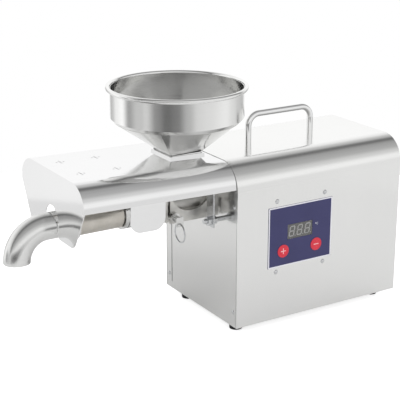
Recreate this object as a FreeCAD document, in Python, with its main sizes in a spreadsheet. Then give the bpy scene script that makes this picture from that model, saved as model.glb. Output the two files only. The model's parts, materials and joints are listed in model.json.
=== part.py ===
import FreeCAD, Part
import math
import os
import Sketcher
from FreeCAD import Placement, Rotation, Vector

# Tabletop screw oil press. Millimetres. The frame's x axis runs along the press screw towards the
# motor, +z is up and z = 0 is the table. Stations along x are counted from the front plate's face,
# which stands at front_station.
sizes = {
    # housing
    "front_station": 6.3, "body_length": 250, "body_width": 170, "body_top": 219.6,
    "shoulder": 33, "sheet_wall": 1.5, "plate_wall": 2, "seam_gap": 0.4, "foot_height": 12,
    "rear_recess": 1.5, "tray_flange": 12, "tab_width": 13, "tab_depth": 8,
    "line_inset": 15, "line_width": 1.4, "line_foot": 9, "shaft_gap": 0.5,
    "axis_height": 158.5,
    # feet and carry handle
    "foot_top_radius": 9.4, "foot_bottom_radius": 8.2, "foot_inset": 17, "foot_spread": 58,
    "foot_web": 4, "foot_well": 4, "handle_start": 71, "handle_span": 96, "handle_rise": 35,
    "handle_radius": 4, "handle_bend": 15, "handle_tap": 12,
    # screws
    "screw_head": 3, "screw_dome": 1.4, "screw_shank": 1.5, "plate_screw_inset": 7.5,
    "plate_screw_low": 31.5, "plate_screw_high": 167,
    # control panel
    "panel_start": 45, "panel_length": 96, "panel_base": 81, "panel_height": 78,
    "panel_wall": 0.6, "panel_screw_start": 57.2, "panel_screw_span": 72,
    "panel_screw_low": 75, "panel_screw_rise": 91.5, "display_start": 73.4,
    "display_length": 37.6, "display_base": 114.7, "display_height": 19,
    "display_depth": 8, "button_radius": 8.2, "button_start": 67.2, "button_span": 50.1,
    "button_level": 100.8, "button_proud": 0.6, "button_travel": 0.8, "button_stem": 3,
    "fit_gap": 0.05, "window_inset": 0.4, "board_wall": 1.6, "board_margin": 5.5,
    "switch_side": 6, "switch_rise": 4, "standoff_radius": 3, "button_lip": 0.6,
    "button_lip_wall": 1, "window_gap": 1, "sink_start": 40, "sink_rise": 50, "sink_length": 32,
    "sink_height": 34, "sink_wall": 4, "sink_fin": 16, "sink_fin_wall": 1.6,
    # gearbox
    "case_half_width": 42, "case_fall": 31, "case_rise": 41.5, "case_length": 44,
    "case_wall": 5, "case_front_wall": 12, "case_corner": 8, "cover_wall": 12,
    "case_tap": 12, "case_screw": 22,
    "slow_module": 1.5, "fast_module": 1, "slow_width": 14, "fast_width": 8,
    "slow_station": 16, "fast_station": 33, "output_radius": 12.5, "lay_radius": 5,
    "motor_shaft_radius": 5, "large_bearing_radius": 21, "large_bearing_width": 9,
    "small_bearing_radius": 13, "small_bearing_width": 8, "race_wall": 1.8, "shield_inset": 0.6,
    "bearing_fit": 0.03, "drive_square": 12, "drive_depth": 16, "drive_end_gap": 2,
    # motor
    "motor_radius": 36, "motor_length": 90, "motor_wall": 3, "magnet_wall": 4,
    "magnet_length": 70, "core_radius": 28, "core_length": 58, "bell_length": 22,
    "fan_radius": 34, "fan_width": 10, "bolt_radius": 2, "bolt_margin": 0.6,
    "motor_bore_gap": 1, "core_slot": 1.2, "core_slot_depth": 9, "commutator_length": 12,
    "fan_gap": 4, "fan_hub_wall": 5, "fan_blade_wall": 1.6,
    # holder on the front plate
    "holder_radius": 23, "holder_length": 68, "holder_plate": 2.5, "holder_half_width": 33,
    "holder_drop": 12.5, "holder_rise": 28, "cheek_wall": 4, "cheek_drop": 14.7,
    "cheek_front": 62, "cheek_back": 10.5, "web_wall": 4, "web_drop": 6, "holder_flange": 6,
    "holder_bolt_spread": 27, "holder_bolt_low": 9.5, "holder_bolt_high": 24, "holder_bolt": 2.5, "bolt_head": 4.2,
    "feed_station": 32, "feed_bowl_radius": 28, "feed_bowl_rise": 29.5, "feed_bowl_top": 47.5,
    "feed_flange_radius": 31, "feed_wall": 2, "feed_hole": 10, "feed_shoulder": 8,
    "feed_gap": 0.3, "saddle_sink": 2, "cheek_arc": 30,
    # barrel, press screw and outlet
    "spigot_radius": 19, "cage_radius": 20.6, "cage_front": 114.5, "nose_radius": 14.55,
    "neck_radius": 15, "thread_radius": 17.5, "bore_radius": 12, "barrel_front": 200,
    "thread_back": 174, "thread_front": 184, "rear_gap": 2, "journal_radius": 8,
    "journal_length": 12, "slot_width": 1.2, "slot_pitch": 4, "slot_count": 10,
    "slot_angle": 200, "flight_radius": 11.7, "flight_wall": 3.2, "flight_pitch": 19,
    "root_back": 6.2, "root_front": 9.6, "nose_cone": 8, "flight_gap": 3,
    "heater_radius": 18, "heater_wall": 3, "heater_front": 172, "heater_back": 116, "heater_slit": 2.5,
    "heater_lug_length": 10, "heater_lug_width": 12, "heater_lug_height": 8,
    "elbow_radius": 16.1, "elbow_wall": 1.5, "elbow_bend": 37.3, "elbow_start": 209.2,
    "elbow_end": 184.2, "elbow_collar": 2, "nut_radius": 22, "nut_lip": 2,
    "slip_gap": 0.1, "probe_radius": 2, "probe_station": 112, "probe_seat": 16.6,
    "probe_length": 12, "probe_head": 4, "probe_head_height": 3,
    "probe_head_rise": 6, "nut_gap": 0.2,
    # locking pin
    "pin_station": 58, "pin_drop": 5, "pin_radius": 3, "pin_reach": 14.5, "pin_end": 48,
    "pin_hole_end": 14, "sleeve_radius": 5.5, "sleeve_start": 27, "sleeve_end": 40,
    "lug_wall": 1.6, "lug_width": 9, "ring_drop": 5.5, "ring_radius": 11.4,
    "ring_wire": 0.9, "ring_hole": 1.4, "lug_margin": 2,
    # guard
    "guard_gap": 2.2, "guard_foot": 190.2, "guard_length": 198, "guard_height": 29.4,
    "guard_shoulder": 29, "guard_wall": 1.2, "guard_tilt": 1.3, "end_drop": 48.5,
    "end_foot_half": 57.5, "end_corner": 14, "notch_half": 18, "notch_top": 30,
    "flap_start": 95.5, "flap_length": 45, "flap_drop": 32, "flap_corner": 14,
    "vent_start": 127.8, "vent_span": 46, "vent_spread": 27.5, "vent_radius": 1.3,
    "petal_radius": 1, "petal_reach": 4.4, "stay_station": 17, "stay_wall": 2,
    "stay_width": 14, "stay_inset": 34, "stay_drop": 20.5, "stay_foot": 12,
    "stud_radius": 3, "stud_length": 26.4, "stud_drop": 13, "stud_nut": 5,
    "stud_nut_wall": 5,
    # hopper
    "neck_half": 21.5, "neck_corner": 2, "neck_top": 224, "neck_clearance": 0.6,
    "collar_wall": 1.6, "collar_height": 2.6, "cone_top": 262, "cone_inset": 4.7, "brim_flat": 1,
    "bowl_base": 267, "bowl_inset": 4.3, "bowl_top": 302.5, "hopper_wall": 1,
    "rim_radius": 2.75, "rim_overlap": 0.4,
    # rear panel fittings
    "inlet_spread": 35, "inlet_level": 45, "inlet_width": 27, "inlet_height": 20,
    "inlet_depth": 20, "inlet_flange": 3, "inlet_wall": 2, "blade_wall": 1.6,
    "blade_height": 4, "blade_length": 12, "blade_spread": 7, "blade_drop": 4, "blade_rise": 1,
    "rocker_level": 86, "rocker_width": 13, "rocker_height": 21, "rocker_depth": 16,
    "rocker_tilt": 8, "rocker_sink": 2, "rocker_gap": 0.3, "rocker_back": 5,
    "trunnion_radius": 1.5, "vent_slot_length": 50, "vent_slot_height": 3,
    "vent_slot_pitch": 8, "vent_slot_count": 9, "vent_slot_level": 120, "vent_slot_inset": 6,
}
small_teeth, lay_teeth, output_teeth = 15, 60, 45     # gear teeth: both pinions, the two wheels

doc = FreeCAD.newDocument("OilPress")
sheet = doc.addObject("Spreadsheet::Sheet", "Sizes")
for row, (alias, number) in enumerate(sizes.items(), 1):
    sheet.set("A%d" % row, alias)
    sheet.set("B%d" % row, str(number))
    sheet.setAlias("B%d" % row, alias)
doc.recompute()


class Size:
    """A length that knows its value and the sheet expression that gives it."""

    def __init__(self, number, text):
        self.number, self.text = float(number), text

    def mix(self, other, sign, number):
        return Size(number, "(%s %s %s)" % (self.text, sign, wrap(other).text))

    def __add__(self, other):
        return self.mix(other, "+", self.number + wrap(other).number)

    def __sub__(self, other):
        return self.mix(other, "-", self.number - wrap(other).number)

    def __mul__(self, other):
        return self.mix(other, "*", self.number * wrap(other).number)

    def __truediv__(self, other):
        return self.mix(other, "/", self.number / wrap(other).number)

    def __neg__(self):
        return self * -1

    def __radd__(self, other):
        return wrap(other) + self

    def __rsub__(self, other):
        return wrap(other) - self

    def __rmul__(self, other):
        return wrap(other) * self


def wrap(length):
    return length if isinstance(length, Size) else Size(length, repr(float(length)))


class Sheet:
    """Gives each cell of the sheet by its alias."""

    def __getattr__(self, alias):
        return Size(sheet.get(alias), "Sizes." + alias)


dim = Sheet()
nodes = []

turns = {
    "+z": Rotation(), "-z": Rotation(Vector(1, 0, 0), 180),
    "+x": Rotation(Vector(0, 1, 0), 90), "-x": Rotation(Vector(0, 1, 0), -90),
    "+y": Rotation(Vector(1, 0, 0), -90), "-y": Rotation(Vector(1, 0, 0), 90),
}


def bind(item, prop, length):
    item.setExpression(prop, wrap(length).text)
    return item


def seat(item, x=0, y=0, z=0, turn=Rotation()):
    """Place an object, with its base point bound to the sheet."""
    item.Placement = Placement(Vector(), turn)
    for axis, length in zip("xyz", (x, y, z)):
        bind(item, "Placement.Base." + axis, length)
    return item


def make(kind, **lengths):
    item = doc.addObject("Part::" + kind, kind)
    for prop, length in lengths.items():
        bind(item, prop, length)
    return item


def rod(radius, length, x=0, y=0, z=0, way="+z"):
    return seat(make("Cylinder", Radius=radius, Height=length), x, y, z, turns[way])


def block(length, width, height, x=0, y=0, z=0):
    """A box that starts at x and z and is centred on y."""
    item = make("Box", Length=length, Width=width, Height=height)
    return seat(item, x, y - wrap(width) / 2, z)


def fuse(*items):
    item = doc.addObject("Part::MultiFuse", "Fuse")
    item.Shapes = list(items)
    return item


def cut(base, *tools):
    item = doc.addObject("Part::Cut", "Cut")
    item.Base = base
    item.Tool = tools[0] if len(tools) == 1 else fuse(*tools)
    return item


def group(items):
    item = doc.addObject("Part::Compound", "Group")
    item.Links = list(items)
    return item


def node(item, label):
    item.Label = label
    nodes.append(item)
    return item


def dome_screw(head, dome, shank, length):
    """A screw along its own z axis: domed head above z = 0, shank below."""
    ball = (head * head + dome * dome) / (2 * dome)
    cap = make("Sphere", Radius=ball)
    cap.Angle1 = math.degrees(math.asin((ball - dome).number / ball.number))
    seat(cap, 0, 0, dome - ball)
    return fuse(cap, rod(shank, length, 0, 0, -length))


def body():
    return doc.addObject("PartDesign::Body", "Body")


def sketch(owner, role, offset=0):
    """A sketch on one of the body's own planes, moved along the plane's normal."""
    item = owner.newObject("Sketcher::SketchObject", "Sketch")
    origin = next(p for p in owner.Origin.OriginFeatures if p.Role == role + "_Plane")
    item.AttachmentSupport = [(origin, "")]
    item.MapMode = "FlatFace"
    bind(item, "AttachmentOffset.Base.z", offset)
    return item


def pin_point(item, curve, end, x, y):
    """Fix one end (or a circle's centre) by its two distances from the sketch's origin."""
    for kind, length in (("DistanceX", x), ("DistanceY", y)):
        index = item.addConstraint(
            Sketcher.Constraint(kind, -1, 1, curve, end, wrap(length).number))
        bind(item, "Constraints[%d]" % index, length)


def polygon(item, points):
    spots = [Vector(wrap(x).number, wrap(y).number, 0) for x, y in points]
    first = item.GeometryCount
    count = len(spots)
    for i in range(count):
        item.addGeometry(Part.LineSegment(spots[i], spots[(i + 1) % count]))
    for i in range(count):
        following = first + (i + 1) % count
        item.addConstraint(Sketcher.Constraint("Coincident", first + i, 2, following, 1))
        pin_point(item, first + i, 1, *points[i])
    return item


def circle(item, radius, x=0, y=0):
    centre = Vector(wrap(x).number, wrap(y).number, 0)
    curve = item.addGeometry(Part.Circle(centre, Vector(0, 0, 1), wrap(radius).number))
    pin_point(item, curve, 3, x, y)
    index = item.addConstraint(Sketcher.Constraint("Radius", curve, wrap(radius).number))
    bind(item, "Constraints[%d]" % index, radius)
    return item


def rectangle(item, left, right, low, high):
    return polygon(item, [(left, low), (right, low), (right, high), (left, high)])


def rounded(item, corners):
    """A closed outline of lines joined by tangent arcs, one (x, y, radius) for each corner.

    A corner of radius None stays sharp. Only axis-parallel sides may meet at a round corner.
    """
    count = len(corners)
    ends = []
    for i, (x, y, radius) in enumerate(corners):
        if radius is None:
            ends.append([(x, y)] * 2)
            continue
        pair = []
        for other in (corners[i - 1], corners[(i + 1) % count]):
            along_x = wrap(other[0]).number - wrap(x).number
            along_y = wrap(other[1]).number - wrap(y).number
            step = radius if along_x + along_y > 0 else -radius
            pair.append((x + step, y) if abs(along_x) > abs(along_y) else (x, y + step))
        ends.append(pair)
    lines = []
    for i in range(count):
        start, stop = ends[i][1], ends[(i + 1) % count][0]
        points = [Vector(wrap(a).number, wrap(b).number, 0) for a, b in (start, stop)]
        lines.append(item.addGeometry(Part.LineSegment(*points)))
        pin_point(item, lines[-1], 1, *start)
        if corners[(i + 1) % count][2] is not None:
            pin_point(item, lines[-1], 2, *stop)
    for i, (x, y, radius) in enumerate(corners):
        before, after = lines[i - 1], lines[i]
        if radius is None:
            item.addConstraint(Sketcher.Constraint("Coincident", before, 2, after, 1))
            continue
        a = item.getPoint(before, 2)
        b = item.getPoint(after, 1)
        tip = Vector(wrap(x).number, wrap(y).number, 0)
        hub = a + b - tip
        middle = hub + (tip - hub).normalize() * wrap(radius).number
        arc = item.addGeometry(Part.Arc(a, middle, b))
        turned = item.getPoint(arc, 1).distanceToPoint(a) > 1e-6
        item.addConstraint(Sketcher.Constraint("Coincident", arc, 2 if turned else 1, before, 2))
        item.addConstraint(Sketcher.Constraint("Coincident", arc, 1 if turned else 2, after, 1))
        index = item.addConstraint(Sketcher.Constraint("Radius", arc, wrap(radius).number))
        bind(item, "Constraints[%d]" % index, radius)
    return item


def arch(item, half, low, high, radius):
    """The housing's section: flat foot, upright sides, rounded shoulders."""
    return rounded(item, [(-half, low, None), (half, low, None), (half, high, radius),
                          (-half, high, radius)])


def rounded_box(item, left, right, low, high, radius):
    return rounded(item, [(left, low, radius), (right, low, radius), (right, high, radius),
                          (left, high, radius)])


def feature(owner, kind, profile, **lengths):
    item = owner.newObject("PartDesign::" + kind, kind)
    if profile is not None:
        item.Profile = profile
        profile.Visibility = False
    for prop, length in lengths.items():
        bind(item, prop, length)
    return item


def pad(owner, profile, length):
    return feature(owner, "Pad", profile, Length=length)


def pocket(owner, profile, length, reverse=False):
    """Cut along the profile's normal when reverse is set, against it otherwise."""
    item = feature(owner, "Pocket", profile, Length=length)
    item.Reversed = reverse
    return item


def spin(owner, kind, profile, axis="H_Axis", angle=360):
    item = feature(owner, kind, profile)
    item.ReferenceAxis = (profile, [axis])
    bind(item, "Angle", angle)
    return item


def turned(profile, x=0, y=0, z=0, turn=Rotation()):
    """A body revolved about its own x axis from a closed (x, radius) outline."""
    owner = body()
    spin(owner, "Revolution", polygon(sketch(owner, "XZ"), profile))
    return seat(owner, x, y, z, turn)


# places that several sub-parts share
front = dim.front_station
half_width = dim.body_width / 2
inner_half = half_width - dim.sheet_wall
inner_top = dim.body_top - dim.sheet_wall
inner_shoulder = dim.shoulder - dim.sheet_wall
plate_half = inner_half - dim.seam_gap
rear_face = dim.body_length - dim.rear_recess
slow_centres = dim.slow_module * (small_teeth + output_teeth) / 2
fast_centres = dim.fast_module * (small_teeth + lay_teeth) / 2
lay_height = dim.axis_height - slow_centres
motor_height = lay_height - fast_centres
case_back = dim.plate_wall + dim.case_length
cover_back = case_back + dim.cover_wall
case_base = motor_height - dim.case_fall
case_top = dim.axis_height + dim.case_rise
bowl_radius = half_width - dim.bowl_inset
cone_radius = bowl_radius - dim.cone_inset
stay_spread = half_width - dim.stay_inset
stud_level = dim.axis_height - dim.stud_drop
board_face = half_width - dim.window_inset - dim.display_depth
sides = (-1, 1)


def corner_spots(spread, low, high):
    return [(side * spread, level) for side in sides for level in (low, high)]


plate_screw_spots = corner_spots(half_width - dim.plate_screw_inset, dim.plate_screw_low,
                                 dim.plate_screw_high)
holder_bolt_spots = corner_spots(dim.holder_bolt_spread, dim.axis_height - dim.holder_bolt_low,
                                 dim.axis_height + dim.holder_bolt_high)
foot_spots = [(x, side * dim.foot_spread) for side in sides
              for x in (dim.foot_inset, dim.body_length - dim.foot_inset)]
panel_screw_spots = [(dim.panel_screw_start + i * dim.panel_screw_span,
                      dim.panel_screw_low + j * dim.panel_screw_rise)
                     for i in (0, 1) for j in (0, 1)]
button_spots = [dim.button_start, dim.button_start + dim.button_span]


# ---- housing ----

def base_tray():
    tray = body()
    low, wall = dim.foot_height, dim.sheet_wall
    brim = low + dim.tray_flange
    outline = sketch(tray, "YZ", dim.plate_wall)
    polygon(outline, [(-plate_half, low), (plate_half, low), (plate_half, brim),
                      (plate_half - wall, brim), (plate_half - wall, low + wall),
                      (-plate_half + wall, low + wall), (-plate_half + wall, brim),
                      (-plate_half, brim)])
    pad(tray, outline, rear_face - dim.sheet_wall - dim.plate_wall)
    holes = sketch(tray, "XY", low)
    for x, y in foot_spots:
        circle(holes, dim.screw_shank + dim.fit_gap, x, y)
    pocket(tray, holes, wall, True)
    node(seat(tray, front), "base_tray")


def feet():
    web = dim.foot_height - dim.foot_web
    rubber, screws = [], []
    for x, y in foot_spots:
        cone = make("Cone", Radius1=dim.foot_bottom_radius, Radius2=dim.foot_top_radius,
                    Height=dim.foot_height)
        seat(cone, front + x, y)
        rubber.append(cut(cone, rod(dim.foot_well, web, front + x, y),
                          rod(dim.screw_shank + dim.fit_gap, dim.foot_height, front + x, y)))
        screw = dome_screw(dim.screw_head, dim.screw_dome, dim.screw_shank, dim.foot_height)
        screws.append(seat(screw, front + x, y, web, turns["-z"]))
    node(group(rubber), "rubber_feet")
    node(group(screws), "foot_screws")


def housing_cover():
    cover = body()
    low = dim.foot_height
    pad(cover, arch(sketch(cover, "YZ"), half_width, low, dim.body_top, dim.shoulder),
        dim.body_length)
    hollow = arch(sketch(cover, "YZ"), inner_half, low - 1, inner_top, inner_shoulder)
    pocket(cover, hollow, dim.body_length, True)
    for station in (dim.plate_wall, rear_face - dim.sheet_wall - dim.tab_depth):
        tabs = sketch(cover, "YZ", station)
        for side in sides:
            for level in (dim.plate_screw_low, dim.plate_screw_high):
                edge, root = side * (inner_half + dim.seam_gap), side * (half_width - dim.tab_width)
                rectangle(tabs, root, edge, level - dim.tab_width / 2, level + dim.tab_width / 2)
        pad(cover, tabs, dim.tab_depth)
        holes = sketch(cover, "YZ", station)
        for y, z in plate_screw_spots:
            circle(holes, dim.screw_shank, y, z)
        pocket(cover, holes, dim.tab_depth, True)
    window = sketch(cover, "XZ", inner_half)
    gap = dim.window_gap
    rectangle(window, dim.display_start - gap, dim.display_start + dim.display_length + gap,
              dim.display_base - gap, dim.display_base + dim.display_height + gap)
    for x in button_spots:
        circle(window, dim.button_radius + gap, x, dim.button_level)
    for x, z in panel_screw_spots:
        circle(window, dim.screw_shank + dim.fit_gap, x, z)
    pocket(cover, window, dim.sheet_wall, True)
    top = sketch(cover, "XY", inner_top)
    for x in (dim.handle_start, dim.handle_start + dim.handle_span):
        circle(top, dim.screw_shank + dim.fit_gap, x)
    pocket(cover, top, dim.sheet_wall, True)
    node(seat(cover, front), "housing_cover")


def front_plate():
    plate = body()
    top = inner_top - dim.seam_gap
    pad(plate, arch(sketch(plate, "YZ"), plate_half, dim.foot_height, top,
                    inner_shoulder - dim.seam_gap), dim.plate_wall)
    holes = sketch(plate, "YZ")
    circle(holes, dim.output_radius + dim.shaft_gap, 0, dim.axis_height)
    for y, z in plate_screw_spots:
        circle(holes, dim.screw_shank + dim.fit_gap, y, z)
    for y, z in holder_bolt_spots:
        circle(holes, dim.holder_bolt + dim.fit_gap, y, z)
    slot = half_width - dim.line_inset
    rectangle(holes, slot, slot + dim.line_width, dim.foot_height + dim.line_foot,
              dim.body_top - dim.shoulder)
    pocket(plate, holes, dim.plate_wall, True)
    node(seat(plate, front), "front_plate")


def plate_screws(label, station, way):
    screws = []
    for y, z in plate_screw_spots:
        screw = dome_screw(dim.screw_head, dim.screw_dome, dim.screw_shank, dim.tab_depth)
        screws.append(seat(screw, front + station, y, z, turns[way]))
    node(group(screws), label)


def rear_panel():
    panel = body()
    start = rear_face - dim.sheet_wall
    pad(panel, arch(sketch(panel, "YZ", start), plate_half, dim.foot_height,
                    inner_top - dim.seam_gap, inner_shoulder - dim.seam_gap), dim.sheet_wall)
    holes = sketch(panel, "YZ", start)
    for y, z in plate_screw_spots:
        circle(holes, dim.screw_shank + dim.fit_gap, y, z)
    for level, width, height in ((dim.inlet_level, dim.inlet_width, dim.inlet_height),
                                 (dim.rocker_level, dim.rocker_width, dim.rocker_height)):
        rectangle(holes, dim.inlet_spread - width / 2, dim.inlet_spread + width / 2,
                  level - height / 2, level + height / 2)
    pocket(panel, holes, dim.sheet_wall, True)
    vents = sketch(panel, "YZ", start)
    for side in sides:
        middle = side * (dim.vent_slot_length / 2 + dim.vent_slot_inset)
        rectangle(vents, middle - dim.vent_slot_length / 2, middle + dim.vent_slot_length / 2,
                  dim.vent_slot_level, dim.vent_slot_level + dim.vent_slot_height)
    first = pocket(panel, vents, dim.sheet_wall, True)
    rows = feature(panel, "LinearPattern", None)
    rows.Originals = [first]
    rows.Direction = (vents, ["V_Axis"])
    rows.Occurrences = int(dim.vent_slot_count.number)
    bind(rows, "Length", dim.vent_slot_pitch * (dim.vent_slot_count - 1))
    panel.Tip = rows
    node(seat(panel, front), "rear_panel")


def carry_handle():
    """A round bar bent twice, standing on the cover's flat top."""
    bar, bend = dim.handle_radius, dim.handle_bend
    start = front + dim.handle_start
    end = start + dim.handle_span
    level = dim.body_top + dim.handle_rise
    leg = dim.handle_rise - bend
    pieces = [rod(bar, dim.handle_span - 2 * bend, start + bend, 0, level, "+x")]
    for x, middle, angle in ((start, start + bend, 90), (end, end - bend, 0)):
        pieces.append(rod(bar, leg, x, 0, dim.body_top))
        corner = make("Torus", Radius1=bend, Radius2=bar)
        corner.Angle3 = 90
        quarter = Rotation(Vector(1, 0, 0), 90) * Rotation(Vector(0, 0, 1), angle)
        pieces.append(seat(corner, middle, 0, level - bend, quarter))
    taps = [rod(dim.screw_shank, dim.handle_tap, x, 0, dim.body_top) for x in (start, end)]
    node(cut(fuse(*pieces), *taps), "carry_handle")
    screws = []
    for x in (start, end):
        screw = dome_screw(dim.screw_head, dim.screw_dome, dim.screw_shank,
                           dim.handle_tap - dim.sheet_wall)
        screws.append(seat(screw, x, 0, inner_top, turns["-z"]))
    node(group(screws), "handle_screws")


# ---- control panel on the near side ----

def control_panel():
    overlay = body()
    outline = sketch(overlay, "XZ", half_width)
    rectangle(outline, dim.panel_start, dim.panel_start + dim.panel_length, dim.panel_base,
              dim.panel_base + dim.panel_height)
    slack = dim.fit_gap
    rectangle(outline, dim.display_start - slack, dim.display_start + dim.display_length + slack,
              dim.display_base - slack, dim.display_base + dim.display_height + slack)
    for x in button_spots:
        circle(outline, dim.button_radius + slack, x, dim.button_level)
    pad(overlay, outline, dim.panel_wall)
    node(seat(overlay, front), "panel_overlay")

    start = front + dim.display_start
    lens = dim.panel_wall + dim.window_inset
    node(block(dim.display_length, lens, dim.display_height, start,
               -half_width - dim.panel_wall + lens / 2, dim.display_base), "display_window")
    node(block(dim.display_length, dim.display_depth, dim.display_height, start,
               -half_width + dim.window_inset + dim.display_depth / 2, dim.display_base),
         "display_module")


def control_board():
    """The board hangs on four standoffs behind the panel and carries two key switches."""
    start, low = dim.panel_screw_start - dim.board_margin, dim.panel_screw_low - dim.board_margin
    board = block(dim.panel_screw_span + 2 * dim.board_margin, dim.board_wall,
                  dim.panel_screw_rise + 2 * dim.board_margin, front + start,
                  -board_face + dim.board_wall / 2, low)
    side = dim.switch_side
    keys = [block(side, dim.switch_rise, side, front + x - side / 2,
                  -board_face - dim.switch_rise / 2, dim.button_level - side / 2)
            for x in button_spots]
    hole = dim.screw_shank + dim.fit_gap
    holes = [rod(hole, 2 * dim.board_wall, front + x, -board_face + 1.5 * dim.board_wall, z, "-y")
             for x, z in panel_screw_spots]
    node(cut(fuse(board, *keys), *holes), "control_board")

    gap = inner_half - board_face
    reach = half_width - board_face + 2 * dim.board_wall
    standoffs, screws = [], []
    for x, z in panel_screw_spots:
        standoffs.append(cut(rod(dim.standoff_radius, gap, front + x, -board_face, z, "-y"),
                             rod(dim.screw_shank, gap, front + x, -board_face, z, "-y")))
        screw = dome_screw(dim.screw_head, dim.screw_dome, dim.screw_shank, reach)
        screws.append(seat(screw, front + x, -half_width, z, turns["-y"]))
    node(group(standoffs), "board_standoffs")
    node(group(screws), "panel_screws")

    inner, left, low = board_face - dim.board_wall, front + start + dim.sink_start, low + dim.sink_rise
    length, height, fin = dim.sink_length, dim.sink_height, dim.sink_fin_wall
    plate = block(length, dim.sink_wall, height, left, -inner + dim.sink_wall / 2, low)
    fins = [block(fin, dim.sink_fin, height, left + (length - fin) / 5 * i,
                  -inner + dim.sink_fin / 2, low) for i in range(6)]
    node(fuse(plate, *fins), "driver_heatsink")


def button(label, x):
    """A cap in the overlay's hole, a lip behind it and a stem that ends above its key."""
    stem_end = board_face + dim.switch_rise + dim.button_travel + dim.slip_gap
    outer = half_width + dim.panel_wall + dim.button_proud
    cap_back = inner_half - dim.window_gap
    cap = rod(dim.button_radius, outer - cap_back, front + x, -cap_back, dim.button_level, "-y")
    lip = rod(dim.button_radius + dim.button_lip, dim.button_lip_wall, front + x,
              -half_width + dim.button_lip_wall + dim.slip_gap, dim.button_level, "-y")
    stem = rod(dim.button_stem, cap_back - stem_end, front + x, -stem_end, dim.button_level, "-y")
    node(fuse(cap, lip, stem), label)


# ---- gearbox ----

def gearbox():
    half, corner, wall = dim.case_half_width, dim.case_corner, dim.case_wall
    hollow = half - wall
    inner_face = dim.plate_wall + dim.case_front_wall
    case = body()
    pad(case, rounded_box(sketch(case, "YZ", dim.plate_wall), -half, half, case_base, case_top,
                          corner), dim.case_length)
    pocket(case, rounded_box(sketch(case, "YZ", inner_face), -hollow, hollow, case_base + wall,
                             case_top - wall, corner - wall), dim.case_length, True)
    for radius, width, level in ((dim.large_bearing_radius, dim.large_bearing_width, dim.axis_height),
                                 (dim.small_bearing_radius, dim.small_bearing_width, lay_height)):
        pocket(case, circle(sketch(case, "YZ", inner_face - width), radius, 0, level), width, True)
    bores = circle(sketch(case, "YZ", dim.plate_wall), dim.output_radius + dim.shaft_gap, 0,
                   dim.axis_height)
    for y, z in holder_bolt_spots:
        circle(bores, dim.holder_bolt, y, z)
    pocket(case, bores, dim.case_front_wall, True)
    screw_spots = corner_spots(half - wall / 2, case_base + corner * 1.25,
                               case_top - corner * 1.25)
    taps = sketch(case, "YZ", case_back - dim.case_tap)
    for y, z in screw_spots:
        circle(taps, dim.screw_shank, y, z)
    pocket(case, taps, dim.case_tap, True)
    node(seat(case, front), "gearbox_case")

    cover = body()
    pad(cover, rounded_box(sketch(cover, "YZ", case_back), -half, half, case_base, case_top,
                           corner), dim.cover_wall)
    for radius, width, level in ((dim.large_bearing_radius, dim.large_bearing_width, dim.axis_height),
                                 (dim.small_bearing_radius, dim.small_bearing_width, lay_height)):
        pocket(cover, circle(sketch(cover, "YZ", case_back), radius, 0, level), width, True)
    bores = circle(sketch(cover, "YZ", case_back), shaft_hole, 0, motor_height)
    for y, z in screw_spots:
        circle(bores, dim.screw_shank + dim.fit_gap, y, z)
    for y in motor_bolt_spots:
        circle(bores, dim.bolt_radius, y, motor_height)
    pocket(cover, bores, dim.cover_wall, True)
    node(seat(cover, front), "gearbox_cover")
    screws = []
    for y, z in screw_spots:
        screw = dome_screw(dim.screw_head, dim.screw_dome, dim.screw_shank, dim.case_screw)
        screws.append(seat(screw, front + cover_back, y, z, turns["+x"]))
    node(group(screws), "gearbox_screws")


def bearing(outer, inner, width, station, level):
    """A shielded ball bearing: the shields stand back between the two races."""
    race, shield, bore = dim.race_wall, dim.shield_inset, inner + dim.bearing_fit
    return turned([(0, bore), (width, bore), (width, bore + race), (width - shield, bore + race),
                   (width - shield, outer - race), (width, outer - race), (width, outer),
                   (0, outer), (0, outer - race), (shield, outer - race), (shield, bore + race),
                   (0, bore + race)], front + station, 0, level)


def bearings():
    inner_face = dim.plate_wall + dim.case_front_wall
    for label, outer, shaft, width, level in (
            ("output_bearings", dim.large_bearing_radius, dim.output_radius, dim.large_bearing_width,
             dim.axis_height),
            ("layshaft_bearings", dim.small_bearing_radius, dim.lay_radius, dim.small_bearing_width,
             lay_height)):
        node(group([bearing(outer, shaft, width, station, level)
                    for station in (inner_face - width, case_back)]), label)


def shafts():
    output = body()
    pad(output, circle(sketch(output, "YZ"), dim.output_radius),
        case_back + dim.large_bearing_width)
    half = dim.drive_square / 2 + dim.fit_gap
    pocket(output, rectangle(sketch(output, "YZ"), -half, half, -half, half), dim.drive_depth,
           True)
    node(seat(output, front, 0, dim.axis_height), "output_shaft")
    start = dim.plate_wall + dim.case_front_wall - dim.small_bearing_width
    node(rod(dim.lay_radius, case_back + dim.small_bearing_width - start, front + start, 0,
             lay_height, "+x"), "layshaft")


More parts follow.
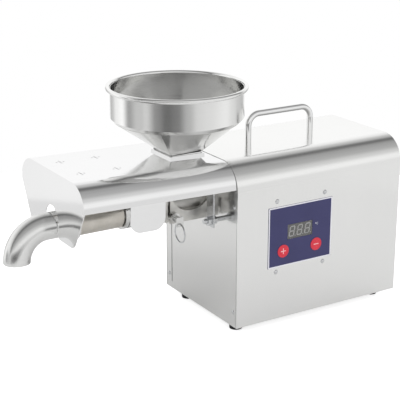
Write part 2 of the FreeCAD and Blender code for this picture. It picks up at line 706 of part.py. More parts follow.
def involute_gear(label, teeth, module, width, bore, station, level, tooth_angle):
    """An external spur gear with 20 degree involute flanks, one tooth centred on tooth_angle."""
    pitch = module.number * teeth / 2
    base = pitch * math.cos(math.radians(20))
    tip, root = pitch + 0.95 * module.number, pitch - 1.2 * module.number
    slack = 0.06 / pitch
    half_tooth = math.pi / 2 / teeth - slack + math.tan(math.radians(20)) - math.radians(20)

    def on_circle(radius, angle):
        return Vector(radius * math.cos(angle), radius * math.sin(angle), 0)

    def spread(radius):
        roll = math.sqrt(max((radius / base) ** 2 - 1, 0))
        return half_tooth - roll + math.atan(roll)

    low = max(base, root)
    middle = (low + tip) / 2
    edges = []
    step = 2 * math.pi / teeth
    for k in range(teeth):
        centre = tooth_angle + k * step
        rise = [on_circle(r, centre - spread(r)) for r in (low, middle, tip)]
        fall = [on_circle(r, centre + spread(r)) for r in (tip, middle, low)]
        start = on_circle(root, centre - spread(low))
        stop = on_circle(root, centre + spread(low))
        following = on_circle(root, centre + step - spread(low))
        if low > root:
            edges.append(Part.makeLine(start, rise[0]))
        edges.append(Part.Arc(*rise).toShape())
        edges.append(Part.Arc(rise[2], on_circle(tip, centre), fall[0]).toShape())
        edges.append(Part.Arc(*fall).toShape())
        if low > root:
            edges.append(Part.makeLine(fall[2], stop))
        edges.append(Part.Arc(stop, on_circle(root, centre + step / 2), following).toShape())
    outline, hole = Part.Wire(edges), Part.Wire([Part.makeCircle(bore.number)])
    face = Part.makeFace([outline, hole], "Part::FaceMakerBullseye")
    gear = doc.addObject("Part::Feature", "Gear")
    gear.Shape = face.extrude(Vector(0, 0, width.number))
    # local x points to +y and local y to +z once the gear's axis lies along +x
    lie = Rotation(Vector(0, 1, 0), Vector(0, 0, 1), Vector(1, 0, 0), "ZXY")
    node(seat(gear, front + station, 0, level, lie), label)


def gears():
    up = math.pi / 2
    involute_gear("output_gear", output_teeth, dim.slow_module, dim.slow_width,
                  dim.output_radius, dim.slow_station, dim.axis_height,
                  -up + math.pi / output_teeth)
    involute_gear("layshaft_pinion", small_teeth, dim.slow_module, dim.slow_width + 2,
                  dim.lay_radius, dim.slow_station - 1, lay_height, up)
    involute_gear("layshaft_gear", lay_teeth, dim.fast_module, dim.fast_width, dim.lay_radius,
                  dim.fast_station, lay_height, -up + math.pi / lay_teeth)
    involute_gear("motor_pinion", small_teeth, dim.fast_module, dim.fast_width + 2,
                  dim.motor_shaft_radius, dim.fast_station - 1, motor_height, up)


# ---- motor ----

bolt_place = dim.motor_radius - dim.motor_wall - dim.bolt_margin - dim.bolt_radius
motor_bolt_spots = [side * bolt_place for side in sides]
can_back = cover_back + dim.motor_length
shaft_hole = dim.motor_shaft_radius + dim.motor_bore_gap


def motor_shells():
    wall, radius = dim.motor_wall, dim.motor_radius
    can = turned([(cover_back, shaft_hole), (cover_back, radius), (can_back, radius),
                  (can_back, radius - wall), (cover_back + wall, radius - wall),
                  (cover_back + wall, shaft_hole)], front, 0, motor_height)
    bell_back, bush = can_back + dim.bell_length, dim.motor_shaft_radius + dim.bearing_fit
    bell = turned([(can_back, radius - wall), (can_back, radius), (bell_back - wall, radius),
                   (bell_back, radius - wall), (bell_back, bush), (bell_back - 2 * wall, bush),
                   (bell_back - 2 * wall, radius / 3), (bell_back - wall, radius / 3),
                   (bell_back - wall, radius - wall)], front, 0, motor_height)
    for shell, label, start, length in ((can, "motor_can", cover_back, wall),
                                        (bell, "motor_end_bell", bell_back - wall, wall)):
        holes = [rod(dim.bolt_radius, length, front + start, y, motor_height, "+x")
                 for y in motor_bolt_spots]
        node(cut(shell, *holes), label)
    bolts = []
    reach = bell_back - cover_back + dim.cover_wall / 2
    for y in motor_bolt_spots:
        bolt = dome_screw(dim.bolt_radius * 1.8, dim.screw_dome, dim.bolt_radius, reach)
        bolts.append(seat(bolt, front + bell_back, y, motor_height, turns["+x"]))
    node(group(bolts), "motor_bolts")


def motor_inside():
    middle = (cover_back + dim.motor_wall + can_back) / 2
    outer = dim.motor_radius - dim.motor_wall
    magnets = []
    for angle in (30, 210):
        arc = make("Cylinder", Radius=outer, Height=dim.magnet_length)
        arc.Angle = 120
        way = turns["+x"] * Rotation(Vector(0, 0, 1), angle - 90)
        seat(arc, front + middle - dim.magnet_length / 2, 0, motor_height, way)
        bore = rod(outer - dim.magnet_wall, dim.magnet_length,
                   front + middle - dim.magnet_length / 2, 0, motor_height, "+x")
        magnets.append(cut(arc, bore))
    node(group(magnets), "motor_magnets")

    armature = body()
    shaft = dim.motor_shaft_radius
    pad(armature, circle(circle(sketch(armature, "YZ"), dim.core_radius), shaft), dim.core_length)
    slot = rectangle(sketch(armature, "YZ"), -dim.core_slot, dim.core_slot,
                     dim.core_radius - dim.core_slot_depth, dim.core_radius + 1)
    first = pocket(armature, slot, dim.core_length, True)
    ring = feature(armature, "PolarPattern", None)
    ring.Originals = [first]
    ring.Axis = (slot, ["N_Axis"])
    ring.Angle = 360
    ring.Occurrences = 12
    armature.Tip = ring
    commutator = circle(sketch(armature, "YZ", dim.core_length), dim.core_radius / 2)
    pad(armature, circle(commutator, shaft), dim.commutator_length)
    node(seat(armature, front + middle - dim.core_length / 2, 0, motor_height), "motor_armature")

    fan_start = can_back + dim.bell_length + dim.fan_gap
    start, overhang = dim.fast_station - 1, dim.fan_gap / 2
    node(rod(shaft, fan_start + dim.fan_width + overhang - start, front + start, 0, motor_height,
             "+x"), "motor_shaft")
    hub_radius = shaft + dim.fan_hub_wall
    blades = []
    for k in range(7):
        blade = make("Box", Length=dim.fan_radius - hub_radius * 0.9, Width=dim.fan_blade_wall,
                     Height=dim.fan_width * 1.1)
        lean = Rotation(Vector(0, 0, 1), 360 / 7 * k) * Rotation(Vector(1, 0, 0), 28)
        root = lean.multVec(Vector(1, 0, 0))
        blades.append(seat(blade, hub_radius * 0.9 * root.x, hub_radius * 0.9 * root.y, 0, lean))
    wheel = cut(fuse(rod(hub_radius, dim.fan_width), *blades),
                rod(shaft, dim.fan_width * 2, 0, 0, -dim.fan_width / 2))
    node(seat(wheel, front + fan_start, 0, motor_height, turns["+x"]), "motor_fan")


# ---- rear fittings ----

def rear_fittings():
    flange, wall = dim.inlet_flange, dim.inlet_wall
    back = front + rear_face + dim.rear_recess
    pivot = back - dim.rocker_height / 2 + dim.rocker_sink
    for label, level, width, height, depth in (
            ("power_inlet", dim.inlet_level, dim.inlet_width, dim.inlet_height, dim.inlet_depth),
            ("rocker_frame", dim.rocker_level, dim.rocker_width, dim.rocker_height,
             dim.rocker_depth)):
        y, low = dim.inlet_spread, level - height / 2
        shell = fuse(block(dim.rear_recess, width + 2 * flange, height + 2 * flange,
                           back - dim.rear_recess, y, low - flange),
                     block(depth, width, height, back - dim.rear_recess - depth, y, low))
        room = depth - wall + dim.rear_recess
        hollow = block(room, width - 2 * wall, height - 2 * wall, back - room, y, low + wall)
        shell = cut(shell, hollow)
        if label == "power_inlet":
            spots = ((-dim.blade_spread, -dim.blade_drop), (0, dim.blade_rise),
                     (dim.blade_spread, -dim.blade_drop))
            pins = [block(dim.blade_length, dim.blade_wall, dim.blade_height, back - room, y + dy,
                          level + dz) for dy, dz in spots]
            shell = fuse(shell, *pins)
        else:
            shell = cut(shell, rod(dim.trunnion_radius + dim.fit_gap, width, pivot,
                                   y - width / 2, level, "+y"))
        node(shell, label)
    rocker = body()
    reach = dim.rocker_height / 2 - wall * 1.5
    outline = polygon(sketch(rocker, "XZ"),
                      [(-dim.rocker_back, -reach), (reach * 0.55, -reach), (reach * 0.8, 0),
                       (reach * 0.55, reach), (-dim.rocker_back, reach)])
    key = pad(rocker, outline, dim.rocker_width - 2 * (wall + dim.rocker_gap))
    trunnions = pad(rocker, circle(sketch(rocker, "XZ"), dim.trunnion_radius),
                    dim.rocker_width - wall)
    key.Midplane = trunnions.Midplane = True
    lean = Rotation(Vector(0, 1, 0), dim.rocker_tilt.number)
    node(seat(rocker, pivot, dim.inlet_spread, dim.rocker_level, lean), "power_rocker")


# ---- holder and feed bowl ----

axis = dim.axis_height
pin_level = axis - dim.pin_drop
feed_x = front - dim.feed_station


def barrel_holder():
    half, drop = dim.holder_half_width, dim.cheek_drop
    bowl = dim.feed_bowl_radius + dim.feed_gap
    tube = rod(dim.holder_radius, dim.holder_length, front - dim.holder_length, 0, axis, "+x")
    face = block(dim.holder_plate, 2 * half, dim.holder_drop + dim.holder_rise,
                 front - dim.holder_length, 0, axis - dim.holder_drop)
    flange = cut(block(dim.holder_flange, 2 * half, drop + dim.holder_rise,
                       front - dim.holder_flange, 0, axis - drop),
                 rod(bowl, dim.feed_bowl_top, feed_x, 0, axis))
    cheeks = [block(dim.cheek_front - dim.cheek_back, dim.cheek_wall, drop + dim.holder_rise,
                    front - dim.cheek_front, side * (half - dim.cheek_wall / 2), axis - drop)
              for side in sides]
    webs = [block(dim.cheek_front - dim.cheek_back, half - dim.holder_radius, dim.web_wall,
                  front - dim.cheek_front, side * (dim.holder_radius + half - dim.cheek_wall) / 2,
                  axis - dim.web_drop) for side in sides]
    arc = rod(dim.cheek_arc, 4 * half, feed_x, -2 * half, axis + dim.holder_rise, "+y")
    cheeks = cut(fuse(*cheeks), arc)
    bore = rod(dim.spigot_radius + dim.fit_gap, dim.holder_length * 2,
               front - dim.holder_length * 1.5, 0, axis, "+x")
    throat = rod(dim.feed_hole, dim.holder_radius * 1.1, feed_x, 0, axis)
    sleeve = rod(dim.sleeve_radius, half, front - dim.pin_station, -dim.sleeve_start, pin_level,
                 "-y")
    guide = rod(dim.pin_radius + dim.fit_gap, half, front - dim.pin_station, 0, pin_level, "-y")
    holes = [rod(dim.holder_bolt + dim.fit_gap, dim.holder_flange * 2,
                 front - dim.holder_flange * 1.5, y, z, "+x") for y, z in holder_bolt_spots]
    node(cut(fuse(tube, face, flange, cheeks, *webs), bore, throat, sleeve, guide, *holes),
         "barrel_holder")
    bolts = []
    for y, z in holder_bolt_spots:
        bolt = dome_screw(dim.bolt_head, dim.holder_bolt, dim.holder_bolt,
                          dim.holder_flange + dim.case_front_wall)
        bolts.append(seat(bolt, front - dim.holder_flange, y, z, turns["-x"]))
    node(group(bolts), "holder_bolts")


def feed_bowl():
    """A round-bottomed bowl that sits astride the holder's tube under the hopper."""
    radius, top, middle = dim.feed_bowl_radius, dim.feed_bowl_top, dim.feed_bowl_rise
    inner, tube_top = radius - dim.feed_wall, dim.holder_radius - dim.saddle_sink
    shoulder = middle + dim.feed_shoulder
    ball = seat(make("Sphere", Radius=radius), feed_x, 0, axis + middle)
    wall = rod(radius, top - middle, feed_x, 0, axis + middle)
    flange = rod(dim.feed_flange_radius, dim.feed_wall, feed_x, 0, axis + top - dim.feed_wall)
    rim = rod(inner, top, feed_x, 0, axis + shoulder)
    cone = make("Cone", Radius1=dim.feed_hole, Radius2=inner, Height=shoulder - tube_top)
    seat(cone, feed_x, 0, axis + tube_top)
    drop = rod(dim.feed_hole, tube_top, feed_x, 0, axis)
    saddle = rod(dim.holder_radius, dim.holder_length, front - dim.holder_length, 0, axis, "+x")
    node(cut(fuse(ball, wall, flange), rim, cone, drop, saddle), "feed_bowl")


# ---- barrel, press screw and outlet; stations run forward from the front plate ----

def press_barrel():
    bore, end = dim.bore_radius, dim.barrel_front
    seal = dim.journal_radius + dim.fit_gap
    shoulder = dim.rear_gap + dim.journal_length
    barrel = turned([(-end, bore), (-end, dim.nose_radius), (-dim.thread_front, dim.nose_radius),
                     (-dim.thread_front, dim.thread_radius), (-dim.thread_back, dim.thread_radius),
                     (-dim.thread_back, dim.neck_radius), (-dim.cage_front, dim.neck_radius),
                     (-dim.cage_front, dim.cage_radius), (-dim.holder_length, dim.cage_radius),
                     (-dim.holder_length, dim.spigot_radius), (-dim.rear_gap, dim.spigot_radius),
                     (-dim.rear_gap, seal), (-shoulder, seal), (-shoulder, bore)], front, 0, axis)
    throat = circle(sketch(barrel, "XY"), dim.feed_hole, -dim.feed_station)
    pocket(barrel, throat, dim.holder_radius, True)
    catch = circle(sketch(barrel, "XZ", dim.pin_hole_end), dim.pin_radius + dim.fit_gap,
                   -dim.pin_station, -dim.pin_drop)
    pocket(barrel, catch, dim.holder_radius, True)
    well = circle(sketch(barrel, "XY", dim.probe_seat), dim.probe_radius, -dim.probe_station)
    pocket(barrel, well, dim.holder_radius, True)
    slot = sketch(barrel, "XZ")
    start = -dim.cage_front + dim.slot_pitch * 1.25
    rectangle(slot, start, start + dim.slot_width, -dim.cage_radius - 1, -bore + 1)
    first = spin(barrel, "Groove", slot, angle=dim.slot_angle)
    first.Midplane = True
    rows = feature(barrel, "LinearPattern", None)
    rows.Originals = [first]
    rows.Direction = (slot, ["H_Axis"])
    rows.Occurrences = int(dim.slot_count.number)
    bind(rows, "Length", dim.slot_pitch * (dim.slot_count - 1))
    barrel.Tip = rows
    node(barrel, "press_barrel")


def press_screw():
    """Tapered root with one helical flight, a round journal and a square drive end."""
    gap = dim.flight_gap
    tip, flight_front = dim.barrel_front - gap, dim.thread_front + gap
    flight_back = dim.rear_gap + dim.journal_length + gap
    screw = turned([(-tip, 0), (-tip, dim.root_front / 2), (-tip + dim.nose_cone, dim.root_front),
                    (-flight_back, dim.root_back), (-flight_back + gap, dim.journal_radius),
                    (-dim.rear_gap, dim.journal_radius), (-dim.rear_gap, 0)], front, 0, axis)
    drive = sketch(screw, "YZ", -dim.rear_gap)
    half = dim.drive_square / 2
    rectangle(drive, -half, half, -half, half)
    pad(screw, drive, dim.rear_gap + dim.drive_depth - dim.drive_end_gap)
    rib = sketch(screw, "XZ")
    rectangle(rib, -flight_front, -flight_front + dim.flight_wall, dim.root_back * 0.7,
              dim.flight_radius)
    flight = feature(screw, "AdditiveHelix", rib)
    flight.ReferenceAxis = (rib, ["H_Axis"])
    flight.Mode = 0
    bind(flight, "Pitch", dim.flight_pitch)
    bind(flight, "Height", flight_front - flight_back - dim.flight_wall)
    node(screw, "press_screw")


def barrel_fittings():
    start, length = front - dim.heater_front, dim.heater_front - dim.heater_back
    inner = dim.heater_radius - dim.heater_wall
    lugs = block(dim.heater_lug_length, dim.heater_lug_width, dim.heater_lug_height,
                 start + (length - dim.heater_lug_length) / 2, 0,
                 axis + dim.heater_radius - dim.heater_wall / 2)
    slit = block(length, dim.heater_slit, dim.heater_radius * 2, start, 0, axis)
    node(cut(fuse(rod(dim.heater_radius, length, start, 0, axis, "+x"), lugs),
             rod(inner, length, start, 0, axis, "+x"), slit), "heater_band")
    x, low = front - dim.probe_station, axis + dim.probe_seat
    node(fuse(rod(dim.probe_radius, dim.probe_length, x, 0, low),
              rod(dim.probe_head, dim.probe_head_height, x, 0, low + dim.probe_head_rise)),
         "temperature_probe")
    lip = dim.elbow_radius + dim.slip_gap
    seat_front = dim.elbow_end + dim.elbow_collar + dim.nut_gap
    node(turned([(-seat_front - dim.nut_lip, lip), (-seat_front - dim.nut_lip, dim.nut_radius),
                 (-dim.thread_back, dim.nut_radius), (-dim.thread_back, dim.thread_radius),
                 (-seat_front, dim.thread_radius), (-seat_front, lip)], front, 0, axis),
         "outlet_nut")


def cake_elbow():
    """A quarter bend that slips over the barrel's nose and is held by its collar."""
    elbow = body()
    outer = dim.elbow_radius
    inner = outer - dim.elbow_wall

    def section():
        return circle(circle(sketch(elbow, "YZ", -dim.elbow_start), outer, 0, axis), inner, 0, axis)

    pad(elbow, section(), dim.elbow_start - dim.elbow_end)
    ring = section()
    height = axis - dim.elbow_bend
    pivot = ring.addGeometry(Part.LineSegment(Vector(0, height.number, 0),
                                              Vector(outer.number, height.number, 0)), True)
    pin_point(ring, pivot, 1, 0, height)
    pin_point(ring, pivot, 2, outer, height)
    bend = spin(elbow, "Revolution", ring, "Axis0", 90)
    bend.Reversed = True
    collar = sketch(elbow, "YZ", -dim.elbow_end - dim.elbow_collar)
    circle(circle(collar, dim.thread_radius - dim.slip_gap, 0, axis), inner, 0, axis)
    pad(elbow, collar, dim.elbow_collar)
    node(seat(elbow, front), "cake_elbow")


# ---- locking pin ----

def locking_pin():
    x = front - dim.pin_station
    length = dim.pin_end - dim.pin_reach
    lug_drop = dim.ring_drop + dim.ring_hole + dim.lug_margin
    lug = block(dim.lug_width, dim.lug_wall, lug_drop + dim.pin_radius, x - dim.lug_width / 2,
                -dim.pin_end - dim.lug_wall / 2, pin_level - lug_drop)
    eye = rod(dim.ring_hole, 4 * dim.lug_wall, x, -dim.pin_end + dim.lug_wall,
              pin_level - dim.ring_drop, "-y")
    pin = fuse(rod(dim.pin_radius, length, x, -dim.pin_reach, pin_level, "-y"), lug)
    node(cut(pin, eye), "lock_pin")
    span = dim.sleeve_end - dim.sleeve_start
    node(cut(rod(dim.sleeve_radius, span, x, -dim.sleeve_start, pin_level, "-y"),
             rod(dim.pin_radius + dim.fit_gap, span, x, -dim.sleeve_start, pin_level, "-y")),
         "pin_sleeve")
    ring = make("Torus", Radius1=dim.ring_radius, Radius2=dim.ring_wire)
    node(seat(ring, x, -dim.pin_end - dim.lug_wall / 2,
              pin_level - dim.ring_drop - dim.ring_radius, turns["+x"]), "pin_ring")


# ---- guard ----

tilt = Rotation(Vector(0, 1, 0), dim.guard_tilt.number)
tilt_sine = math.sin(math.radians(dim.guard_tilt.number))


def on_guard(item):
    """Place a piece of the guard, which leans up towards the outlet from its rear lower edge."""
    return seat(item, front - dim.guard_gap, 0, dim.guard_foot, tilt)


def edges_along_x(item, spots):
    """Names of a feature's straight edges that run along x through the given (y, z) places."""
    names = []
    for i, edge in enumerate(item.Shape.Edges, 1):
        box = edge.BoundBox
        if box.XLength < 0.1 or box.YLength > 1e-4 or box.ZLength > 1e-4:
            continue
        if any(abs(box.YMin - y) < 1e-3 and abs(box.ZMin - z) < 1e-3 for y, z in spots):
            names.append("Edge%d" % i)
    return names


def round_edges(owner, base, spots, radius):
    doc.recompute()
    places = [(wrap(y).number, wrap(z).number) for y, z in spots]
    item = feature(owner, "Fillet", None, Radius=radius)
    item.Base = (base, edges_along_x(base, places))
    return item


def guard_hood():
    hood = body()
    wall, top, length = dim.guard_wall, dim.guard_height, dim.guard_length - dim.guard_wall
    pad(hood, arch(sketch(hood, "YZ", -length), half_width, 0, top, dim.guard_shoulder), length)
    neck = -(dim.feed_station - dim.guard_gap) - top * tilt_sine
    hole = dim.neck_half + dim.neck_clearance
    rim = hole + dim.collar_wall
    collar = rectangle(sketch(hood, "XY", top), neck - rim, neck + rim, -rim, rim)
    pad(hood, collar, dim.collar_height)
    pocket(hood, arch(sketch(hood, "YZ", -length), half_width - wall, -1, top - wall,
                      dim.guard_shoulder - wall), length, True)
    pocket(hood, rectangle(sketch(hood, "XY", top - wall), neck - hole, neck + hole, -hole, hole),
           2 * (wall + dim.collar_height), True)
    vents = sketch(hood, "XY", top - wall)
    for x in (-dim.vent_start, -dim.vent_start - dim.vent_span):
        for side in sides:
            y = side * dim.vent_spread
            circle(vents, dim.vent_radius, x, y)
            for k in sides:
                circle(vents, dim.petal_radius, x + k * dim.petal_reach, y)
                circle(vents, dim.petal_radius, x, y + k * dim.petal_reach)
    pocket(hood, vents, 2 * wall, True)
    node(on_guard(hood), "guard_hood")


def guard_end_plate():
    plate = body()
    drop, foot, top = dim.end_drop, dim.end_foot_half, dim.guard_height
    outline = sketch(plate, "YZ", -dim.guard_length)
    polygon(outline, [(-foot, -drop), (foot, -drop), (half_width, 0), (half_width, top),
                      (-half_width, top), (-half_width, 0)])
    sheet_metal = pad(plate, outline, dim.guard_wall)
    shoulders = round_edges(plate, sheet_metal, [(-half_width, top), (half_width, top)],
                            dim.guard_shoulder)
    round_edges(plate, shoulders, [(-foot, -drop), (foot, -drop)], dim.end_corner)
    notch = dim.notch_half
    pocket(plate, circle(sketch(plate, "YZ", -dim.guard_length), notch, 0, -dim.notch_top),
           dim.guard_wall, True)
    pocket(plate, rectangle(sketch(plate, "YZ", -dim.guard_length), -notch, notch, -drop - 1,
                            -dim.notch_top), dim.guard_wall, True)
    node(on_guard(plate), "guard_end_plate")


def guard_flaps():
    flaps = []
    for side in sides:
        flap = body()
        outline = sketch(flap, "XZ", side * (half_width - dim.guard_wall * 0.75))
        left, low = -dim.flap_start - dim.flap_length, -dim.flap_drop
        rounded(outline, [(left, low, dim.flap_corner), (-dim.flap_start, low, dim.flap_corner),
                          (-dim.flap_start, 0, None), (left, 0, None)])
        sheet_metal = pad(flap, outline, dim.guard_wall)
        sheet_metal.Midplane = True
        flaps.append(on_guard(flap))
    node(group(flaps), "guard_side_flaps")


def guard_stays():
    """Two bent straps on weld studs carry the rear of the guard."""
    top = dim.guard_foot + dim.guard_height - dim.guard_wall
    x = front - dim.stay_station
    stays, studs, nuts = [], [], []
    for side in sides:
        y = side * stay_spread
        studs.append(rod(dim.stud_radius, dim.stud_length, front, y, stud_level, "-x"))
        low = axis - dim.stay_drop
        upright = block(dim.stay_wall, dim.stay_width, top - low, x, y, low)
        foot = block(dim.stay_foot, dim.stay_width, dim.stay_wall, x - dim.stay_foot, y,
                     top - dim.stay_wall)
        stays.append(cut(fuse(upright, foot), rod(dim.stud_radius, dim.stud_length, front, y,
                                                  stud_level, "-x")))
        for start in (x - dim.stud_nut_wall, x + dim.stay_wall):
            nut = make("Prism", Circumradius=dim.stud_nut * 2 / math.sqrt(3),
                       Height=dim.stud_nut_wall)
            nut.Polygon = 6
            seat(nut, start, y, stud_level, turns["+x"])
            nuts.append(cut(nut, rod(dim.stud_radius, dim.stud_nut_wall, start, y, stud_level,
                                     "+x")))
    node(group(stays), "guard_stays")
    node(group(studs), "guard_studs")
    node(group(nuts), "stay_nuts")


# ---- hopper ----

def hopper():
    """Spun bowl on a square-to-round cone whose creases run up from the neck's corners."""
    funnel = body()
    wall = dim.hopper_wall
    low = axis + dim.feed_bowl_top
    for inset, kind in ((0, "Additive"), (wall, "Subtractive")):
        half, round_half = dim.neck_half - inset, cone_radius - inset
        foot = rounded_box(sketch(funnel, "XY", dim.neck_top), -half, half, -half, half,
                           dim.neck_corner - inset * 0.5)
        brim = rounded_box(sketch(funnel, "XY", dim.cone_top), -round_half, round_half,
                           -round_half, round_half, round_half - dim.brim_flat)
        brim.AttachmentOffset = Placement(brim.AttachmentOffset.Base,
                                          Rotation(Vector(0, 0, 1), 45))
        cone = feature(funnel, kind + "Loft", foot)
        cone.Sections = [brim]
        cone.Ruled = True
        brim.Visibility = False
        neck = rounded_box(sketch(funnel, "XY", low), -half, half, -half, half,
                           dim.neck_corner - inset * 0.5)
        if kind == "Additive":
            pad(funnel, neck, dim.neck_top - low)
        else:
            pocket(funnel, neck, dim.neck_top - low, True)
        bowl = sketch(funnel, "XZ")
        radius = bowl_radius - inset
        polygon(bowl, [(0, dim.cone_top), (round_half, dim.cone_top), (radius, dim.bowl_base),
                       (radius, dim.bowl_top), (0, dim.bowl_top)])
        spin(funnel, "Revolution" if kind == "Additive" else "Groove", bowl, "V_Axis")
    rim = circle(sketch(funnel, "XZ"), dim.rim_radius,
                 bowl_radius + dim.rim_radius - dim.rim_overlap, dim.bowl_top)
    spin(funnel, "Revolution", rim, "V_Axis")
    node(seat(funnel, feed_x), "hopper")


def build():
    base_tray()
    feet()
    housing_cover()
    front_plate()
    plate_screws("front_plate_screws", 0, "-x")
    rear_panel()
    plate_screws("rear_panel_screws", rear_face, "+x")
    carry_handle()
    control_panel()
    control_board()
    button("plus_button", button_spots[0])
    button("minus_button", button_spots[1])
    gearbox()
    bearings()
    shafts()
    gears()
    motor_shells()
    motor_inside()
    rear_fittings()
    barrel_holder()
    feed_bowl()
    press_barrel()
    press_screw()
    barrel_fittings()
    cake_elbow()
    locking_pin()
    guard_hood()
    guard_end_plate()
    guard_flaps()
    guard_stays()
    hopper()


def check_and_export():
    doc.recompute()
    for item in doc.Objects:
        if "Invalid" in item.State or "Error" in item.State:
            raise RuntimeError("%s did not build: %s" % (item.Label, item.State))
    for item in nodes:
        if item.Shape.isNull() or not item.Shape.isValid() or not item.Shape.Solids:
            raise RuntimeError("%s has no valid solid" % item.Label)
    os.makedirs("parts", exist_ok=True)
    for item in nodes:
        item.Shape.exportStep("parts/%s.step" % item.Label)
        print("%-20s %2d solids  %10.0f mm3" % (item.Label, len(item.Shape.Solids),
                                              item.Shape.Volume))


build()
check_and_export()
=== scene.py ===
import json
import math

import bmesh
import bpy
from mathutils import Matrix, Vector

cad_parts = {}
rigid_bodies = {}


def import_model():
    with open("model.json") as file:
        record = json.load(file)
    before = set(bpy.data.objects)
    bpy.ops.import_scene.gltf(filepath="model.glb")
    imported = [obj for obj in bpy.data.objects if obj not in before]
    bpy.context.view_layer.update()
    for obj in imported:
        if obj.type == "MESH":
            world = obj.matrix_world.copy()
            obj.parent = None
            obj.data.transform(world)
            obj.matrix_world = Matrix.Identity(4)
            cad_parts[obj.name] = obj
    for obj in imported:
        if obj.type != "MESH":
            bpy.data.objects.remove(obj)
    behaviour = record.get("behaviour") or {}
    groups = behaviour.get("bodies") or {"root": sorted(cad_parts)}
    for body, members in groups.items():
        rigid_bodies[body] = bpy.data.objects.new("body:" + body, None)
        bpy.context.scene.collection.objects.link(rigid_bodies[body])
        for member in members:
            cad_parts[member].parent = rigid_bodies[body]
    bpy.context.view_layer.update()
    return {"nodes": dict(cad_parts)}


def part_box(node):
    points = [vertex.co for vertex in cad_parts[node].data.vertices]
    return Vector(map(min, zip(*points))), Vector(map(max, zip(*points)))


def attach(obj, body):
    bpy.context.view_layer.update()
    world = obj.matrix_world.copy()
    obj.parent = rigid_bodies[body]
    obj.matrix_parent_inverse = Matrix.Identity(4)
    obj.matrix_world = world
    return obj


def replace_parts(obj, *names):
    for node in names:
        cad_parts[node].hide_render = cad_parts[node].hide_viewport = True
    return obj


for leftover in list(bpy.data.objects):
    bpy.data.objects.remove(leftover)

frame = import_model()
nodes = frame["nodes"]
print("frame loaded:", len(nodes), "nodes")


# small helpers for node trees

def addNode(tree, kind, inputs=None, **props):
    node = tree.nodes.new(kind)
    for key, value in props.items():
        setattr(node, key, value)
    for key, value in (inputs or {}).items():
        if isinstance(value, bpy.types.NodeSocket):
            tree.links.new(value, node.inputs[key])
        else:
            node.inputs[key].default_value = value
    return node


def mathNode(tree, operation, first, second=0.0):
    return addNode(tree, "ShaderNodeMath", {0: first, 1: second}, operation=operation).outputs[0]


def spread(tree, value, low, high, newLow, newHigh):
    node = addNode(tree, "ShaderNodeMapRange", {"Value": value, "From Min": low, "From Max": high,
                                                "To Min": newLow, "To Max": newHigh})
    return node.outputs["Result"]


def blendColour(tree, factor, first, second):
    node = addNode(tree, "ShaderNodeMix", data_type="RGBA")
    for index, value in ((0, factor), (6, first), (7, second)):
        if isinstance(value, bpy.types.NodeSocket):
            tree.links.new(value, node.inputs[index])
        else:
            node.inputs[index].default_value = value if index == 0 else (*value[:3], 1)
    return node.outputs[2]


def greyRamp(tree, factor, stops):
    node = addNode(tree, "ShaderNodeValToRGB", {"Fac": factor})
    node.color_ramp.interpolation = "EASE"
    while len(node.color_ramp.elements) > 1:
        node.color_ramp.elements.remove(node.color_ramp.elements[-1])
    node.color_ramp.elements[0].position = stops[0][0]
    node.color_ramp.elements[0].color = (stops[0][1],) * 3 + (1,)
    for place, grey in stops[1:]:
        node.color_ramp.elements.new(place).color = (grey, grey, grey, 1)
    return node.outputs["Color"]


# camera

cameraLook = {
    "place": (-0.7050, -1.1562, 0.5982),
    "turn": -31.6,       # degrees round Z
    "tip": 18.1,         # degrees looking down
    "lens": 103.2,       # mm, like the sensor's width
    "sensor": 36.0,
    "clip": (0.05, 20),
}


def makeCamera():
    data = bpy.data.cameras.new("productCamera")
    data.lens = cameraLook["lens"]
    data.sensor_width = cameraLook["sensor"]
    data.clip_start, data.clip_end = cameraLook["clip"]
    camera = bpy.data.objects.new("productCamera", data)
    camera.location = cameraLook["place"]
    camera.rotation_euler = (math.radians(90 - cameraLook["tip"]), 0,
                             math.radians(cameraLook["turn"]))
    bpy.context.scene.collection.objects.link(camera)
    bpy.context.scene.camera = camera


makeCamera()


# studio: a white tent with grey gaps between its panels, one soft lamp, a pale floor

studioLook = {
    "plainLevel": 0.86,
    "tentRound": [(0.0, 0.70), (0.017, 0.72), (0.067, 0.30), (0.117, 0.16), (0.167, 0.22),
                  (0.217, 0.51), (0.267, 0.76), (0.317, 0.82), (0.417, 0.96), (0.467, 0.82),
                  (0.517, 0.66), (0.567, 0.57), (0.617, 1.0), (0.70, 1.0), (0.74, 0.55),
                  (0.767, 0.64), (0.817, 1.0), (0.867, 1.15), (0.917, 0.40), (0.967, 0.63)],
    "tentOver": [(0.0, 1.0), (0.442, 0.92), (0.497, 1.05), (0.553, 1.0), (0.608, 0.71),
                 (0.664, 0.47), (0.719, 0.40), (0.775, 0.16), (0.831, 0.59), (0.886, 0.96),
                 (0.942, 1.08), (1.0, 1.08)],
    "seam": (0.0, 0.16),           # height of the view line where the wall turns to roof
    "lampPlace": (-0.9, -1.3, 1.7), "lampSize": 1.1, "lampPower": 9.0,
    "floorRadius": 0.72, "floorSides": 96, "floorLift": 0.72, "floorTone": 0.88,
}


